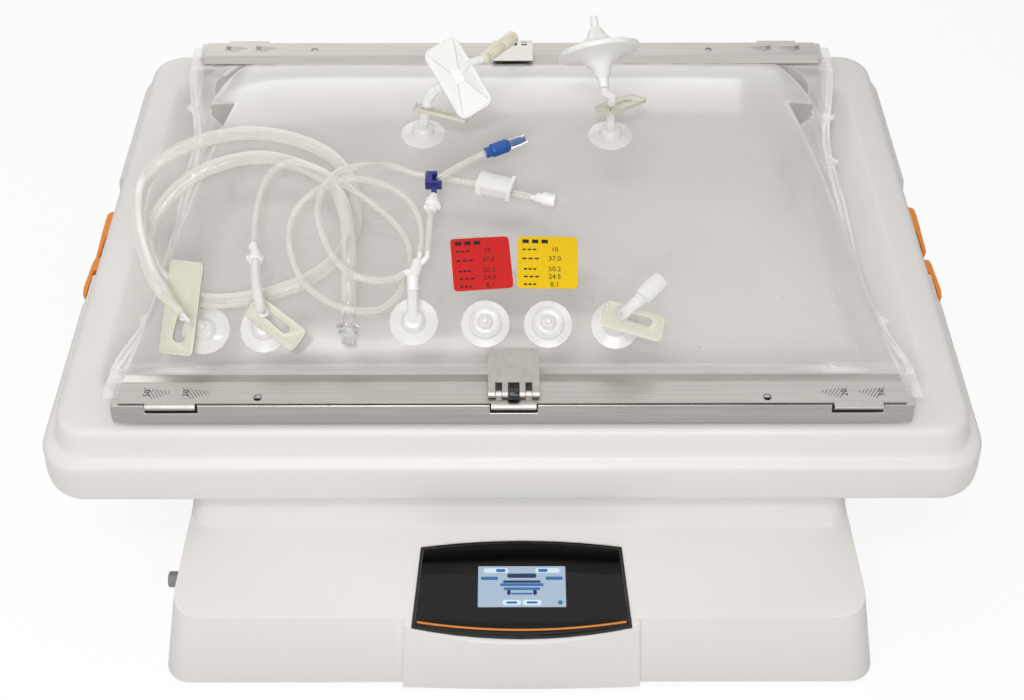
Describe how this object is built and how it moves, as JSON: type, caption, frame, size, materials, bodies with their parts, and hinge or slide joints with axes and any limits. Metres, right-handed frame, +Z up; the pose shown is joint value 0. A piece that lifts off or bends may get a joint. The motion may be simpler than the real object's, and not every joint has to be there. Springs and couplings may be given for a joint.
{
  "type": "bench bioreactor",
  "caption": "Benchtop rocking bioreactor: a white base with a touch panel rocks a tray that holds a clear culture bag with ports, filters and tubing.",
  "frame": {"origin": "centre of the bounding box in plan, at the underside of the feet", "axes": "X along the tray's length with the power button on the -X side, Y from the touch panel towards the rear, Z up"},
  "size_m": [0.798, 0.605, 0.447],
  "materials": {
    "white_paint": "satin white powder coat",
    "black_gloss": "gloss black",
    "satin_silver": "satin",
    "brushed_steel": "brushed lengthways",
    "cast_aluminium": "as cast",
    "dark_rubber": "matte",
    "grey_plastic": "fine matte",
    "green_board": "solder mask",
    "orange_plastic": "satin moulded",
    "clear_film": "clear welded film",
    "clear_tube": "clear, faintly yellow",
    "natural_plastic": "natural translucent",
    "cream_plastic": "cream translucent",
    "clear_plastic": "clear moulded",
    "navy_plastic": "gloss",
    "blue_plastic": "gloss"
  },
  "bodies": {
    "base": {"base_shell": "white_paint", "base_plate": "satin_silver", "foot_front_left": "dark_rubber", "foot_rear_left": "dark_rubber", "foot_front_right": "dark_rubber", "foot_rear_right": "dark_rubber", "panel_bezel": "black_gloss", "panel_glass": "black_gloss", "rear_inlet": "black_gloss", "bearing_block_left": "cast_aluminium", "bearing_block_right": "cast_aluminium", "drive_motor": "cast_aluminium", "control_board": "green_board"},
    "button": {"power_button": "grey_plastic"},
    "pinion": {"motor_pinion": "satin_silver"},
    "rocker": {"rocker_shaft": "satin_silver", "sector_gear": "satin_silver", "cradle": "cast_aluminium", "heater_plate": "dark_rubber", "tray_shell": "white_paint", "rail_front": "brushed_steel", "rail_rear": "brushed_steel", "side_catch_left": "orange_plastic", "side_catch_right": "orange_plastic", "bag": "clear_film", "port_hose": "natural_plastic", "port_inlet": "natural_plastic", "port_sample": "natural_plastic", "port_oxygen": "natural_plastic", "port_acidity": "natural_plastic", "port_spare": "natural_plastic", "port_gas_in": "natural_plastic", "port_gas_out": "natural_plastic", "filter_box": "natural_plastic", "filter_disc": "natural_plastic", "hose_connector": "clear_plastic", "big_tube": "clear_tube", "thin_tube_1": "clear_tube", "thin_tube_2": "clear_tube", "inlet_luer": "natural_plastic", "y_fitting": "natural_plastic", "sample_line": "clear_tube", "sample_luer": "natural_plastic", "sample_tee": "navy_plastic", "sample_valve": "blue_plastic", "pinch_clamp": "natural_plastic", "branch_cap": "natural_plastic"},
    "bar_front": {"clamp_bar_front": "brushed_steel", "latch_roller_front": "dark_rubber"},
    "bar_rear": {"clamp_bar_rear": "brushed_steel", "latch_roller_rear": "dark_rubber"},
    "leaf_front": {"latch_leaf_front": "satin_silver"},
    "leaf_rear": {"latch_leaf_rear": "satin_silver"},
    "latch_left": {"side_latch_left": "orange_plastic"},
    "latch_right": {"side_latch_right": "orange_plastic"},
    "clamp_hose": {"plate_clamp_hose": "cream_plastic"},
    "clamp_inlet": {"plate_clamp_inlet": "cream_plastic"},
    "clamp_spare": {"plate_clamp_spare": "cream_plastic"},
    "clamp_gas_in": {"plate_clamp_gas_in": "cream_plastic"},
    "clamp_gas_out": {"plate_clamp_gas_out": "cream_plastic"}
  },
  "joints": [
    {"name": "tray_tilt", "type": "hinge", "parent": "base", "child": "rocker", "pos_m": [0, 0.0464, 0.2], "axis": [-1, 0, 0], "range_deg": [0, 20]},
    {"name": "pinion_spin", "type": "hinge", "parent": "base", "child": "pinion", "pos_m": [0, 0.0464, 0.1157], "axis": [-1, 0, 0], "range_deg": [-120, 0]},
    {"name": "power_button_press", "type": "slide", "parent": "base", "child": "button", "axis": [1, 0, 0], "range_m": [0, 0.002], "stiffness_N_per_m": 400, "springref_m": -0.001},
    {"name": "clamp_bar_front_lift", "type": "hinge", "parent": "rocker", "child": "bar_front", "pos_m": [0, -0.2018, 0.2589], "axis": [1, 0, 0], "range_deg": [0, 70]},
    {"name": "clamp_bar_rear_lift", "type": "hinge", "parent": "rocker", "child": "bar_rear", "pos_m": [0, 0.2595, 0.3402], "axis": [-1, 0, 0], "range_deg": [0, 70]},
    {"name": "latch_front_lift", "type": "hinge", "parent": "bar_front", "child": "leaf_front", "pos_m": [0.001, -0.1948, 0.2662], "axis": [1, 0, 0], "range_deg": [0, 100]},
    {"name": "latch_rear_lift", "type": "hinge", "parent": "bar_rear", "child": "leaf_rear", "pos_m": [0.001, 0.2504, 0.3447], "axis": [-1, 0, 0], "range_deg": [0, 100]},
    {"name": "side_latch_left_slide", "type": "slide", "parent": "rocker", "child": "latch_left", "axis": [0, 0.9848, 0.1736], "range_m": [0, 0.012]},
    {"name": "side_latch_right_slide", "type": "slide", "parent": "rocker", "child": "latch_right", "axis": [0, 0.9848, 0.1736], "range_m": [-0.009, 0]},
    {"name": "clamp_hose_slide", "type": "slide", "parent": "rocker", "child": "clamp_hose", "axis": [0.1269, 0.6507, 0.7487], "range_m": [0, 0.018]},
    {"name": "clamp_inlet_slide", "type": "slide", "parent": "rocker", "child": "clamp_inlet", "axis": [0.7999, -0.3935, -0.4531], "range_m": [-0.022, 0]},
    {"name": "clamp_spare_slide", "type": "slide", "parent": "rocker", "child": "clamp_spare", "axis": [0.96, -0.1837, -0.2115], "range_m": [-0.021, 0]},
    {"name": "clamp_gas_in_slide", "type": "slide", "parent": "rocker", "child": "clamp_gas_in", "axis": [0.9707, -0.1575, -0.1813], "range_m": [-0.022, 0]},
    {"name": "clamp_gas_out_slide", "type": "slide", "parent": "rocker", "child": "clamp_gas_out", "axis": [0.729, 0.6747, -0.1159], "range_m": [-0.022, 0]}
  ],
  "couplings": [
    {"joint": "pinion_spin", "follows": "tray_tilt", "ratio": -6}
  ]
}
